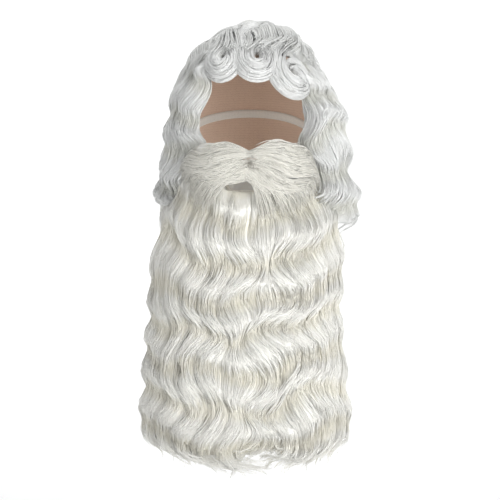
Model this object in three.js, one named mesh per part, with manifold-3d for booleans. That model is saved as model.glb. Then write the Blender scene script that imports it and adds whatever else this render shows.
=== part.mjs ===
// Curly costume wig with a long waved beard and a moustache, in the shape that it has on a head.
// Millimetres, +Z up, the face looks along -Y, and left and right are as seen from the front.
// The origin is the top of the head that wears it. A drop is a distance below the origin, and an
// azimuth is an angle round the head, 0 at the face and 90 at the right.
import * as THREE from "three";
import { mergeVertices } from "three/addons/utils/BufferGeometryUtils.js";
import Module from "manifold-3d";

const wasm = await Module();
wasm.setup();
const { lerp, clamp, degToRad, radToDeg, smoothstep } = THREE.MathUtils;

// Sizes of the head that the wig fits
const HEAD_WIDTH = 152;
const HEAD_LENGTH = 194;
const CROWN_HEIGHT = 95;
const CHIN_DROP = 232;

// Sizes of the cap, the beard's backing and the elastic
const GAP = 0.3;
const HAIR_GAP = 0.7;
const CAP_WALL = 2;
const HAIRLINE_DROP = 44;
const EAR_TAB_DROP = 116;
const EAR_ARCH_DROP = 98;
const NAPE_DROP = 160;
const BACKING_WALL = 2;
const LIP_DROP = 178;
const MOUTH_WIDTH = 50;
const MOUTH_HEIGHT = 18;
const ELASTIC_WIDTH = 10;
const ELASTIC_THICKNESS = 1;

// Sizes of the hair
const CROWN_LOFT = 16;
const SIDE_LOFT = 54;
const FRONT_LOFT = 40;
const BACK_LOFT = 26;
const SIDE_HAIR_DROP = 228;
const BEARD_DROP = 512;
const HAIR_THICKNESS = 30;
const LOCK_RELIEF = 7;
const LOCK_SCALLOP = 6;
const LOCK_ROUNDNESS = 0.8;
const ROOT_WAVE_LENGTH = 92;
const TIP_WAVE_LENGTH = 72;
const WAVE_SLOPE = 0.85;
const RIDGE_HEIGHT = 4.8;
const RIDGE_SKEW = 0.15;
const PARTING = 11;
const CROWN_RIDGES = 10;
const CROWN_RELIEF = 3.8;
const CROWN_TWIST = 0.9;
const CROWN_TILT = [-12, 10];
const FRINGE_CURL_RADIUS = 18;
const FRINGE_CURL_WIDTH = 27;
const FRINGE_CURL_THICKNESS = 20;
const MOUSTACHE_LOCK_WIDTH = 24;
const MOUSTACHE_LOCK_THICKNESS = 17;

// Number of facets
const HEAD_SIDES = 22;
const COLUMNS_PER_LOCK = 3;
const ROW_SPACING = 10;
const CURL_SIDES = 6;
const CURL_RINGS = 10;
const LONGEST = 2000;

// Offsets of each layer from the head: the elastic, then the cloth, then the hair
const CLOTH_INSIDE = ELASTIC_THICKNESS + GAP;
const CAP_OUTSIDE = CLOTH_INSIDE + CAP_WALL;
const BACKING_OUTSIDE = CLOTH_INSIDE + BACKING_WALL;

// The head below its widest level. drop is a share of the way from there to the chin, and the
// others are shares of half the head's width or length.
const JAW_LEVELS = [
  { drop: 0.25, side: 0.97, front: 0.98, back: 0.93 },
  { drop: 0.5, side: 0.91, front: 1.0, back: 0.78 },
  { drop: 0.68, side: 0.83, front: 1.02, back: 0.64 },
  { drop: 0.85, side: 0.71, front: 0.99, back: 0.58 },
  { drop: 1.0, side: 0.55, front: 0.91, back: 0.55 },
];

// Outside of the wig's hair. drop is a share of SIDE_HAIR_DROP, left and right are shares of
// SIDE_LOFT, front of FRONT_LOFT and back of BACK_LOFT, all beyond half the head.
const WIG_LEVELS = [
  { drop: 0.0, left: -0.6, right: -0.5, front: -0.75, back: -1.2 },
  { drop: 0.1, left: -0.06, right: 0.06, front: -0.2, back: -0.1 },
  { drop: 0.22, left: 0.16, right: 0.24, front: 0.25, back: 0.6 },
  { drop: 0.33, left: 0.32, right: 0.42, front: 0.45, back: 0.95 },
  { drop: 0.48, left: 0.36, right: 0.72, front: 0.45, back: 1.0 },
  { drop: 0.66, left: 0.56, right: 0.78, front: 0.45, back: 0.85 },
  { drop: 0.88, left: 0.6, right: 0.96, front: 0.45, back: 0.65 },
  { drop: 1.0, left: 0.56, right: 0.92, front: 0.45, back: 0.6 },
];

// Outside of the beard's hair. drop is a share of BEARD_DROP, and the others are as above.
const BEARD_LEVELS = [
  { drop: 0.24, left: 0.1, right: 0.12, front: 0.55, back: 0 },
  { drop: 0.31, left: 0.25, right: 0.25, front: 0.68, back: 0 },
  { drop: 0.38, left: 0.34, right: 0.34, front: 0.72, back: 0 },
  { drop: 0.46, left: 0.6, right: 0.52, front: 0.9, back: 0 },
  { drop: 0.57, left: 0.78, right: 0.6, front: 1.0, back: 0 },
  { drop: 0.7, left: 0.88, right: 0.6, front: 1.0, back: 0 },
  { drop: 0.82, left: 0.98, right: 0.76, front: 0.95, back: 0 },
  { drop: 0.92, left: 1.04, right: 0.8, front: 0.88, back: 0 },
  { drop: 1.0, left: 0.9, right: 0.68, front: 0.75, back: 0 },
];

// The locks of the wig from one side of the face round the back to the other. azimuth is in
// degrees, root and tip are shares of SIDE_HAIR_DROP, and phase is a share of a wave.
const WIG_LOCKS = [
  { piece: "side_hair_right", azimuth: 51, root: 0.15, tip: 0.94, phase: 0.3 },
  { piece: "side_hair_right", azimuth: 69, root: 0.15, tip: 1.0, phase: 0.36 },
  { piece: "side_hair_right", azimuth: 87, root: 0.16, tip: 0.97, phase: 0.45 },
  { piece: "back_hair", azimuth: 109, root: 0.17, tip: 1.06, phase: 0.52 },
  { piece: "back_hair", azimuth: 137, root: 0.18, tip: 1.1, phase: 0.6 },
  { piece: "back_hair", azimuth: 166, root: 0.18, tip: 1.16, phase: 0.64 },
  { piece: "back_hair", azimuth: 195, root: 0.18, tip: 1.14, phase: 0.58 },
  { piece: "back_hair", azimuth: 223, root: 0.18, tip: 1.09, phase: 0.46 },
  { piece: "back_hair", azimuth: 251, root: 0.17, tip: 1.03, phase: 0.3 },
  { piece: "side_hair_left", azimuth: 272, root: 0.16, tip: 0.9, phase: 0.2 },
  { piece: "side_hair_left", azimuth: 290, root: 0.15, tip: 0.95, phase: 0.12 },
  { piece: "side_hair_left", azimuth: 308, root: 0.15, tip: 0.87, phase: 0.0 },
];

// The locks of the beard from the left ear to the right one. root and tip are shares of
// BEARD_DROP.
const BEARD_LOCKS = [
  { piece: "beard_side_left", azimuth: -75, root: 0.26, tip: 0.935, phase: 0.5 },
  { piece: "beard_side_left", azimuth: -59, root: 0.28, tip: 0.95, phase: 0.45 },
  { piece: "beard_side_left", azimuth: -44, root: 0.3, tip: 0.965, phase: 0.36 },
  { piece: "beard_front_left", azimuth: -30, root: 0.33, tip: 0.985, phase: 0.24 },
  { piece: "beard_front_left", azimuth: -17, root: 0.365, tip: 1.005, phase: 0.14 },
  { piece: "beard_front_left", azimuth: -5, root: 0.37, tip: 1.01, phase: 0.05 },
  { piece: "beard_front_right", azimuth: 6, root: 0.37, tip: 0.965, phase: 0.16 },
  { piece: "beard_front_right", azimuth: 17, root: 0.365, tip: 0.99, phase: 0.24 },
  { piece: "beard_front_right", azimuth: 30, root: 0.33, tip: 0.995, phase: 0.3 },
  { piece: "beard_side_right", azimuth: 44, root: 0.3, tip: 0.983, phase: 0.42 },
  { piece: "beard_side_right", azimuth: 59, root: 0.28, tip: 0.967, phase: 0.54 },
  { piece: "beard_side_right", azimuth: 75, root: 0.26, tip: 0.95, phase: 0.6 },
];

// The hair over the top: how far it stands out at the sides as shares of SIDE_LOFT, how often its
// ridges bend from the swirl to the edge, and where its rings are, in degrees from the swirl
const CROWN_SIDES = { left: 0.26, right: 0.34 };
const CROWN_TWIST_TURNS = 3.2;
const CROWN_RINGS = [9, 27, 45, 62, 79, 96];

// The scooped curls over the forehead. azimuth is in degrees, drop is a share of HAIRLINE_DROP, and
// size is a share of FRINGE_CURL_RADIUS.
const FRINGE_CURLS = [
  { name: "fringe_curl_left", azimuth: -25, drop: 0.8, size: 1.0 },
  { name: "fringe_curl_middle", azimuth: 8, drop: 0.8, size: 1.2 },
  { name: "fringe_curl_right", azimuth: 37, drop: 1.25, size: 1.15 },
];

// The locks of each wing of the moustache, from the top one to the lowest. azimuth and reach are
// where it starts and ends, in degrees, and root, bow and tip are drops as shares of LIP_DROP.
const MOUSTACHE_LOCKS = {
  left: [
    { azimuth: 1, reach: 54, root: 0.83, bow: 0.79, tip: 0.83 },
    { azimuth: 2, reach: 60, root: 0.86, bow: 0.88, tip: 0.91 },
    { azimuth: 9, reach: 48, root: 0.9, bow: 0.95, tip: 0.96 },
  ],
  right: [
    { azimuth: 3, reach: 52, root: 0.84, bow: 0.8, tip: 0.86 },
    { azimuth: 4, reach: 56, root: 0.87, bow: 0.9, tip: 0.96 },
    { azimuth: 8, reach: 46, root: 0.92, bow: 1.03, tip: 1.05 },
  ],
};

// Turns a three.js geometry into a solid, without facets of no width, and with its faces pointing
// out
function solidOf(geometry) {
  const flat = geometry.index ? geometry.toNonIndexed() : geometry;
  const bare = new THREE.BufferGeometry();
  bare.setAttribute("position", flat.getAttribute("position"));
  const merged = mergeVertices(bare, 1e-4);
  const vertProperties = merged.attributes.position.array;
  const point = (n) => new THREE.Vector3().fromArray(vertProperties, 3 * n);
  const facets = [];
  let volume = 0;
  for (let i = 0; i < merged.index.count; i += 3) {
    const [a, b, c] = merged.index.array.slice(i, i + 3);
    if (a === b || b === c || c === a) continue;
    facets.push([a, b, c]);
    volume += point(a).dot(point(b).cross(point(c)));
  }
  const triVerts = new Uint32Array(
    facets.flatMap(([a, b, c]) => (volume < 0 ? [a, c, b] : [a, b, c])));
  return new wasm.Manifold(new wasm.Mesh({ numProp: 3, vertProperties, triVerts }));
}

// Turns a solid back into a geometry with flat facets
function geometryOf(solid) {
  const mesh = solid.getMesh();
  const geometry = new THREE.BufferGeometry();
  const positions = new Float32Array(3 * mesh.numVert);
  for (let i = 0; i < mesh.numVert; i++)
    positions.set(mesh.vertProperties.subarray(i * mesh.numProp, i * mesh.numProp + 3), 3 * i);
  geometry.setAttribute("position", new THREE.BufferAttribute(positions, 3));
  geometry.setIndex(new THREE.BufferAttribute(new Uint32Array(mesh.triVerts), 1));
  const faceted = geometry.toNonIndexed();
  faceted.computeVertexNormals();
  return faceted;
}

const union = (solids) => wasm.Manifold.union(solids);

// The largest body of a cut solid, without the chips that the cut leaves beside it
function mainBody(solid) {
  return solid.decompose().reduce((best, body) => (body.volume() > best.volume() ? body : best));
}

// Skins a list of rings, each with the same even number of points, and closes both ends with a
// strip across the ring, which suits a long curved ring as well as a round one. The facets of the
// second half of a ring are cut the other way, so that the facing ends of two neighbours match.
function loft(rings) {
  const sides = rings[0].length;
  const faces = [];
  for (let ring = 0; ring + 1 < rings.length; ring++)
    for (let side = 0; side < sides; side++) {
      const a = ring * sides + side;
      const b = ring * sides + ((side + 1) % sides);
      if (side < sides / 2) faces.push(a, a + sides, b + sides, a, b + sides, b);
      else faces.push(a, a + sides, b, b, a + sides, b + sides);
    }
  const last = (rings.length - 1) * sides;
  for (let side = 0; side < sides / 2 - 1; side++) {
    const [a, b, c, d] = [side, side + 1, sides - 2 - side, sides - 1 - side];
    faces.push(a, b, c, a, c, d);
    faces.push(last + a, last + c, last + b, last + a, last + d, last + c);
  }
  const geometry = new THREE.BufferGeometry().setFromPoints(rings.flat());
  geometry.setIndex(faces);
  return geometry;
}

// Reads a column of a table at a place between its rows
function read(table, key, at, column) {
  const after = table.findIndex((row) => row[key] >= at);
  if (after === 0) return table[0][column];
  if (after < 0) return table.at(-1)[column];
  const [a, b] = [table[after - 1], table[after]];
  return lerp(a[column], b[column], (at - a[key]) / (b[key] - a[key]));
}

// A power that keeps the sign
const signedPower = (value, power) => Math.sign(value) * Math.abs(value) ** power;

// The point, the direction round and the direction out at an azimuth and a drop on a hair form
function placeOn(form, azimuth, drop, inset = 0) {
  const angle = degToRad(azimuth);
  const [sin, cos] = [Math.sin(angle), Math.cos(angle)];
  const share = drop / form.drop;
  const column = (name) => read(form.levels, "drop", share, name);
  const side = HEAD_WIDTH / 2 + SIDE_LOFT * column(sin < 0 ? "left" : "right");
  const deep = HEAD_LENGTH / 2
    + (cos > 0 ? FRONT_LOFT * column("front") : BACK_LOFT * column("back"));
  const { boxy } = form;
  const point = new THREE.Vector3(
    (side - inset) * signedPower(sin, boxy), -(deep - inset) * signedPower(cos, boxy), -drop);
  const out = new THREE.Vector3(
    signedPower(sin, 2 - boxy) / side, -signedPower(cos, 2 - boxy) / deep, 0).normalize();
  const round = new THREE.Vector3(-out.y, out.x, 0);
  return { point, out, round, reach: (side + deep) / 2 };
}

const WIG_FORM = { levels: WIG_LEVELS, drop: SIDE_HAIR_DROP, boxy: 1 };
const BEARD_FORM = { levels: BEARD_LEVELS, drop: BEARD_DROP, boxy: 0.84 };

// The head, or what lies a given offset outside it
function headSolid(offset) {
  const halfWidth = HEAD_WIDTH / 2;
  const halfLength = HEAD_LENGTH / 2;
  const ring = (side, front, back, z) => Array.from({ length: HEAD_SIDES }, (_, i) => {
    const angle = (2 * Math.PI * i) / HEAD_SIDES;
    const deep = Math.cos(angle) > 0 ? front : back;
    return new THREE.Vector3(side * Math.sin(angle), -deep * Math.cos(angle), z);
  });
  const rings = [10, 25, 40, 55, 70, 90].map((polar) => {
    const [sin, cos] = [Math.sin(degToRad(polar)), Math.cos(degToRad(polar))];
    const deep = (halfLength + offset) * sin;
    return ring((halfWidth + offset) * sin, deep, deep,
      (CROWN_HEIGHT + offset) * cos - CROWN_HEIGHT);
  });
  for (const level of JAW_LEVELS)
    rings.push(ring(halfWidth * level.side + offset, halfLength * level.front + offset,
      halfLength * level.back + offset, -lerp(CROWN_HEIGHT, CHIN_DROP, level.drop)));
  return solidOf(loft(rings));
}

// A prism across the whole width, from an outline drawn in the side view: y forward is negative
function sidePrism(outline) {
  const shape = new THREE.Shape(outline.map(([y, z]) => new THREE.Vector2(y, z)));
  const prism = new THREE.ExtrudeGeometry(shape, { depth: LONGEST, bevelEnabled: false });
  prism.translate(0, 0, -LONGEST / 2);
  const turn = new THREE.Matrix4().makeBasis(
    new THREE.Vector3(0, 1, 0), new THREE.Vector3(0, 0, 1), new THREE.Vector3(1, 0, 0));
  return solidOf(prism.applyMatrix4(turn));
}

const FACE = -HEAD_LENGTH / 2;
const NAPE = HEAD_LENGTH / 2;

// The net cap: a thin shell over the head, cut at the hairline, in front of and over the ears, and
// at the nape
function capSolid() {
  const below = sidePrism([
    [-LONGEST, -LONGEST],
    [LONGEST, -LONGEST],
    [LONGEST, -NAPE_DROP],
    [0.55 * NAPE, -NAPE_DROP],
    [0.33 * NAPE, -EAR_TAB_DROP],
    [0.05 * NAPE, -EAR_ARCH_DROP],
    [0.2 * FACE, -EAR_ARCH_DROP],
    [0.34 * FACE, -EAR_TAB_DROP],
    [0.46 * FACE, -EAR_TAB_DROP],
    [0.66 * FACE, -1.5 * HAIRLINE_DROP],
    [0.9 * FACE, -HAIRLINE_DROP],
    [-LONGEST, -HAIRLINE_DROP],
  ]);
  return headSolid(CAP_OUTSIDE).subtract(headSolid(CLOTH_INSIDE)).subtract(below);
}

// The cloth that carries the beard: a shell round the jaw with a slot for the mouth
function backingSolid() {
  const corner = EAR_TAB_DROP + CLOTH_INSIDE;
  const outline = sidePrism([
    [0.12 * FACE, -corner],
    [0.42 * FACE, -corner],
    [0.7 * FACE, -0.8 * LIP_DROP],
    [0.95 * FACE, -LIP_DROP + 1.4 * MOUTH_HEIGHT],
    [1.4 * FACE, -LIP_DROP + 1.4 * MOUTH_HEIGHT],
    [1.4 * FACE, -CHIN_DROP + CLOTH_INSIDE],
    [0.5 * FACE, -CHIN_DROP + CLOTH_INSIDE],
    [0.08 * FACE, -LIP_DROP],
  ]);
  const mouth = new THREE.Shape();
  const straight = (MOUTH_WIDTH - MOUTH_HEIGHT) / 2;
  mouth.absarc(straight, 0, MOUTH_HEIGHT / 2, -Math.PI / 2, Math.PI / 2);
  mouth.absarc(-straight, 0, MOUTH_HEIGHT / 2, Math.PI / 2, (3 * Math.PI) / 2);
  const slot = new THREE.ExtrudeGeometry(mouth, {
    depth: LONGEST, bevelEnabled: false, curveSegments: 6,
  });
  slot.rotateX(Math.PI / 2).translate(0, 0, -LIP_DROP);
  return headSolid(BACKING_OUTSIDE).subtract(headSolid(CLOTH_INSIDE)).intersect(outline)
    .subtract(solidOf(slot));
}

// The elastic that holds the beard: a flat band on the head, from the backing's corner at one ear
// round the back of the head to the other
function elasticSolid() {
  const front = { y: 0.3 * FACE, z: -EAR_TAB_DROP - 1.5 * ELASTIC_WIDTH };
  const back = { y: NAPE, z: -0.9 * CROWN_HEIGHT };
  const half = ELASTIC_WIDTH / 2;
  const band = sidePrism([
    [front.y, front.z - half],
    [2 * back.y, 2 * back.z - front.z - half],
    [2 * back.y, 2 * back.z - front.z + half],
    [front.y, front.z + half],
  ]);
  return headSolid(ELASTIC_THICKNESS).subtract(headSolid(0)).intersect(band);
}

// How full a lock is along its length: gathered at the root, full, then narrowing to the tip
const fullness = (share) =>
  lerp(0.7, 1, smoothstep(share, 0, 0.2)) * lerp(1, 0.6, smoothstep(share, 0.88, 1));

// Reads a column of a list of locks at a place between two of them: 2 is the middle of the third
// lock, and 2.5 is the crease between it and the next
function between(locks, place, column) {
  const low = Math.min(Math.max(Math.floor(place), 0), locks.length - 2);
  return lerp(locks[low][column], locks[low + 1][column], place - low);
}

// The point on a layer of hair at a place among its locks and a share of their length, on its
// outside or its inside. Each lock bulges between two creases. As it hangs it swings to and fro in
// waves that get shorter, with a ridge across it wherever it runs most aslant, twice in each wave,
// steeper underneath than on top.
// The left and right locks are mirror images, which stay still where they meet.
function hairPoint(form, locks, place, share, inside, grow) {
  const azimuth = between(locks, place, "azimuth");
  const bulge = Math.abs(Math.cos(Math.PI * place)) ** LOCK_ROUNDNESS;
  const root = between(locks, place, "root") * form.drop;
  const tip = between(locks, place, "tip") * form.drop - LOCK_SCALLOP * (1 - bulge);
  const waveLength = lerp(ROOT_WAVE_LENGTH, TIP_WAVE_LENGTH, share);
  const turns = ((tip - root) * Math.log(ROOT_WAVE_LENGTH / waveLength))
    / (ROOT_WAVE_LENGTH - TIP_WAVE_LENGTH);
  const phase = between(locks, place, "phase") * lerp(1, 0.4, share);
  const wave = 2 * Math.PI * (turns + phase);
  const side = clamp(-Math.sin(degToRad(azimuth)) / Math.sin(degToRad(PARTING)), -1, 1);
  const swing = (WAVE_SLOPE * waveLength * smoothstep(share, 0, 0.3) * Math.sin(wave))
    / (2 * Math.PI);
  const full = fullness(share);
  const middle = HAIR_THICKNESS / 2;
  const inset = inside
    ? middle + middle * full + grow
    : middle - (middle - LOCK_RELIEF * (1 - bulge)) * full - grow;
  const turn = radToDeg((side * swing) / (HEAD_WIDTH / 2 + SIDE_LOFT));
  const { point, out, round } = placeOn(form, azimuth + turn, lerp(root, tip, share), inset);
  const ridge = Math.cos(2 * wave) + RIDGE_SKEW * Math.sin(4 * wave);
  return { point: point.addScaledVector(out, RIDGE_HEIGHT * ridge), round };
}

// A piece of a layer of hair: the locks that carry its name, fused side by side, and half a gap
// short of the locks beside it. Its inside has fewer facets: one for each lock and every second
// row. grow makes it that much larger all round, to cut another piece clear of it.
function hairPiece(form, locks, name, grow = 0) {
  const first = locks.findIndex((lock) => lock.piece === name);
  const columns = COLUMNS_PER_LOCK * locks.filter((lock) => lock.piece === name).length;
  const length = form.drop * Math.max(...locks.map((lock) => lock.tip - lock.root));
  const rows = 2 * Math.ceil(length / (2 * ROW_SPACING));
  const rings = [];
  for (let ring = 0; ring <= rows; ring++) {
    const arc = (inside) => Array.from({ length: columns + 1 }, (_, i) => {
      const column = inside ? i - (i % COLUMNS_PER_LOCK) : i;
      const row = inside ? ring - (ring % 2) : ring;
      const place = first - 0.5 + column / COLUMNS_PER_LOCK;
      const { point, round } = hairPoint(form, locks, place, row / rows, inside, grow);
      if (row === 0) point.z += grow;
      if (row === rows) point.z -= grow;
      if (column === 0) point.addScaledVector(round, HAIR_GAP / 2 - grow);
      if (column === columns) point.addScaledVector(round, grow - HAIR_GAP / 2);
      return point;
    });
    rings.push([...arc(false), ...arc(true).reverse()]);
  }
  return solidOf(loft(rings));
}

// The hair over the top of the cap: ridged locks that run down from a swirl behind the top
function crownHairSolid() {
  const swirl = new THREE.Matrix4().makeRotationFromEuler(
    new THREE.Euler(...CROWN_TILT.map(degToRad), 0));
  const sides = 3 * CROWN_RIDGES;
  const rings = CROWN_RINGS.map((polar) => {
    const ridge = CROWN_RELIEF * Math.sin(degToRad(polar));
    return Array.from({ length: sides }, (_, i) => {
      const turn = (2 * Math.PI * i) / sides;
      const twist = CROWN_TWIST * Math.sin(degToRad(CROWN_TWIST_TURNS * polar));
      const bump = 1 + (ridge * Math.cos(CROWN_RIDGES * turn + twist)) / HEAD_WIDTH;
      const way = new THREE.Vector3().setFromSphericalCoords(1, degToRad(polar), turn);
      const [x, y, z] = [way.x, way.z, way.y].map((value) => value * bump);
      const direction = new THREE.Vector3(x, y, z).applyMatrix4(swirl);
      const side = direction.x > 0 ? CROWN_SIDES.right : CROWN_SIDES.left;
      return new THREE.Vector3(
        direction.x * (HEAD_WIDTH / 2 + SIDE_LOFT * side),
        direction.y * (HEAD_LENGTH / 2 + BACK_LOFT),
        direction.z * (CROWN_HEIGHT + CROWN_LOFT) - CROWN_HEIGHT);
    });
  });
  const above = WIG_LOCKS[0].root * SIDE_HAIR_DROP;
  const below = sidePrism([
    [-LONGEST, -LONGEST],
    [LONGEST, -LONGEST],
    [LONGEST, -1.7 * above],
    [0.6 * NAPE, -1.6 * above],
    [0, -1.25 * above],
    [0.7 * FACE, -0.7 * HAIRLINE_DROP],
    [-LONGEST, -0.5 * HAIRLINE_DROP],
  ]);
  return solidOf(loft(rings)).subtract(below);
}

// A flat tapered lock swept along a path of places on a form, square to the path
function sweptSolid(places, width, thickness, fatness, grow) {
  const rings = places.map(({ point, out }, i) => {
    const before = places[Math.max(0, i - 1)].point;
    const after = places[Math.min(places.length - 1, i + 1)].point;
    const along = after.clone().sub(before).normalize();
    const across = new THREE.Vector3().crossVectors(along, out).normalize();
    const lift = new THREE.Vector3().crossVectors(across, along);
    const share = i / (places.length - 1);
    const end = share === 0 ? -grow : share === 1 ? grow : 0;
    const centre = point.clone().addScaledVector(along, end);
    return Array.from({ length: CURL_SIDES }, (_, side) => {
      const angle = (2 * Math.PI * side) / CURL_SIDES;
      const wide = (width / 2) * fatness(share) + grow;
      const deep = (thickness / 2) * fatness(share) + grow;
      return centre.clone().addScaledVector(across, wide * Math.cos(angle))
        .addScaledVector(lift, deep * Math.sin(angle));
    });
  });
  return solidOf(loft(rings));
}

// A scooped curl of the fringe: down from the crown on its left, round under and up on its right
function fringeCurlSolid(curl, grow = 0) {
  const radius = FRINGE_CURL_RADIUS * curl.size;
  const centre = curl.drop * HAIRLINE_DROP;
  const places = Array.from({ length: CURL_RINGS }, (_, i) => {
    const share = i / (CURL_RINGS - 1);
    const angle = degToRad(lerp(120, 395, share));
    const spiral = radius * lerp(1.15, 0.75, share);
    const place = placeOn(WIG_FORM, curl.azimuth, centre);
    const azimuth = curl.azimuth + radToDeg((spiral * Math.cos(angle)) / place.reach);
    const inset = FRINGE_CURL_THICKNESS * lerp(0.5, 0.75, share);
    return placeOn(WIG_FORM, azimuth, centre - spiral * Math.sin(angle), inset);
  });
  const fatness = (share) => lerp(0.8, 1, smoothstep(share, 0, 0.3))
    * lerp(1, 0.5, smoothstep(share, 0.7, 1));
  return sweptSolid(places, FRINGE_CURL_WIDTH, FRINGE_CURL_THICKNESS, fatness, grow);
}

// One wing of the moustache: locks that sweep out from under the nose
function moustacheSolid(name, side, grow = 0) {
  return union(MOUSTACHE_LOCKS[name].map((lock) => {
    const places = Array.from({ length: CURL_RINGS - 2 }, (_, i) => {
      const share = i / (CURL_RINGS - 3);
      const azimuth = side * lerp(lock.azimuth, lock.reach, share);
      const straight = lerp(lock.root, lock.tip, share);
      const bow = (lock.bow - (lock.root + lock.tip) / 2) * Math.sin(Math.PI * share);
      const drop = LIP_DROP * (straight + bow);
      return placeOn(BEARD_FORM, azimuth, drop, -0.1 * MOUSTACHE_LOCK_THICKNESS);
    });
    const fatness = (share) => lerp(0.55, 1, smoothstep(share, 0, 0.45))
      * lerp(1, 0.45, smoothstep(share, 0.7, 1));
    return sweptSolid(places, MOUSTACHE_LOCK_WIDTH, MOUSTACHE_LOCK_THICKNESS, fatness, grow);
  }));
}

// The group holds each piece as its own mesh
const wig = new THREE.Group();
const FINISHES = {
  hair: { color: 0xe9e6dc, roughness: 0.5, metalness: 0 },
  net: { color: 0xc9ab93, roughness: 0.85, metalness: 0 },
  elastic: { color: 0xece8df, roughness: 0.7, metalness: 0 },
};

function add(name, solid, finish) {
  const mesh = new THREE.Mesh(
    geometryOf(mainBody(solid)), new THREE.MeshStandardMaterial(FINISHES[finish]));
  mesh.name = name;
  wig.add(mesh);
}

// Every piece of hair is cut clear of the head and its cloth, then of the pieces laid before it
const cloth = headSolid(Math.max(CAP_OUTSIDE, BACKING_OUTSIDE) + GAP);
let laid = cloth;
function addHair(name, build) {
  const solid = build(0).subtract(laid);
  add(name, solid, "hair");
  laid = laid.add(build(HAIR_GAP)).add(solid);
}

add("wig_cap", capSolid(), "net");
add("beard_backing", backingSolid(), "net");
add("beard_elastic", elasticSolid(), "elastic");

for (const curl of [...FRINGE_CURLS].reverse())
  addHair(curl.name, (grow) => fringeCurlSolid(curl, grow));
for (const name of ["side_hair_left", "side_hair_right", "back_hair"])
  addHair(name, (grow) => hairPiece(WIG_FORM, WIG_LOCKS, name, grow));
add("crown_hair", crownHairSolid().subtract(laid), "hair");
for (const [name, side] of [["left", -1], ["right", 1]])
  addHair(`moustache_${name}`, (grow) => moustacheSolid(name, side, grow));
for (const name of ["beard_front_left", "beard_front_right", "beard_side_left", "beard_side_right"])
  add(name, hairPiece(BEARD_FORM, BEARD_LOCKS, name).subtract(laid), "hair");

export default wig;
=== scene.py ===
import math

import bpy
import numpy as np
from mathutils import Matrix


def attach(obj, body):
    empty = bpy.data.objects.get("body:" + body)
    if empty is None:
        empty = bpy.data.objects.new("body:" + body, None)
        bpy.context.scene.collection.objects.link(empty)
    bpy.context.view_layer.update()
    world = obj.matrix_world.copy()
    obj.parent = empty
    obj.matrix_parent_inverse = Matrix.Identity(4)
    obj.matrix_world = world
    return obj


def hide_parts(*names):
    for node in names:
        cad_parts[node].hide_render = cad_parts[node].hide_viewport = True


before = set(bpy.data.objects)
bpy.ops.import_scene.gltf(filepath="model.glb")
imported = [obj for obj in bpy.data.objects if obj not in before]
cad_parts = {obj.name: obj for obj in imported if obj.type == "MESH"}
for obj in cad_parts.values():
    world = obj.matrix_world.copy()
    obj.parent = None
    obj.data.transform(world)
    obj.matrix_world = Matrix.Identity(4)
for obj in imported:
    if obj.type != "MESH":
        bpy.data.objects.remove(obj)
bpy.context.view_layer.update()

# Sizes in mm
MM = 0.001
HEAD_WIDTH, HEAD_LENGTH, CROWN_HEIGHT, CHIN_DROP = 152, 194, 95, 232
CLOTH_INSIDE, CAP_OUTSIDE, BACKING_OUTSIDE = 1.3, 3.3, 3.3
HAIRLINE_DROP, EAR_TAB_DROP, EAR_ARCH_DROP, NAPE_DROP, LIP_DROP = 44, 116, 98, 160, 178
MOUTH_WIDTH, MOUTH_HEIGHT, ELASTIC_WIDTH = 50, 18, 10
CROWN_LOFT, SIDE_LOFT, FRONT_LOFT, BACK_LOFT = 16, 54, 40, 26
SIDE_HAIR_DROP, BEARD_DROP = 228, 512
HAIR_THICKNESS, LOCK_RELIEF, LOCK_SCALLOP, LOCK_ROUNDNESS = 30, 5.5, 6, 0.8
ROOT_WAVE_LENGTH, TIP_WAVE_LENGTH, WAVE_SLOPE, RIDGE_HEIGHT = 92, 72, 0.85, 4.8
ROLL_SKEW = 0.12
# degrees round the head: how wide the change of side of the waves is, and how far it wanders
PARTING, PARTING_WANDER = 9, 8
WAVE_UNEVENNESS, SWING_UNEVENNESS, RIDGE_UNEVENNESS = 0.6, 0.25, 0.35
# how deep a mass of hair and its combed ridges lie in a layer
BODY_DEPTH, COMB_RELIEF = 1.2, 0.4
HAIR_REACH = HEAD_WIDTH / 2 + SIDE_LOFT
FRINGE_CURL_RADIUS, FRINGE_CURL_WIDTH, FRINGE_CURL_THICKNESS = 18, 27, 20
MOUSTACHE_LOCK_WIDTH, MOUSTACHE_LOCK_THICKNESS = 24, 17

# drop: share from CROWN_HEIGHT to CHIN_DROP
JAW_LEVELS = {
    "drop": (0.25, 0.5, 0.68, 0.85, 1.0),
    "side": (0.97, 0.91, 0.83, 0.71, 0.55),
    "front": (0.98, 1.0, 1.02, 0.99, 0.91),
    "back": (0.93, 0.78, 0.64, 0.58, 0.55),
}
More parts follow.
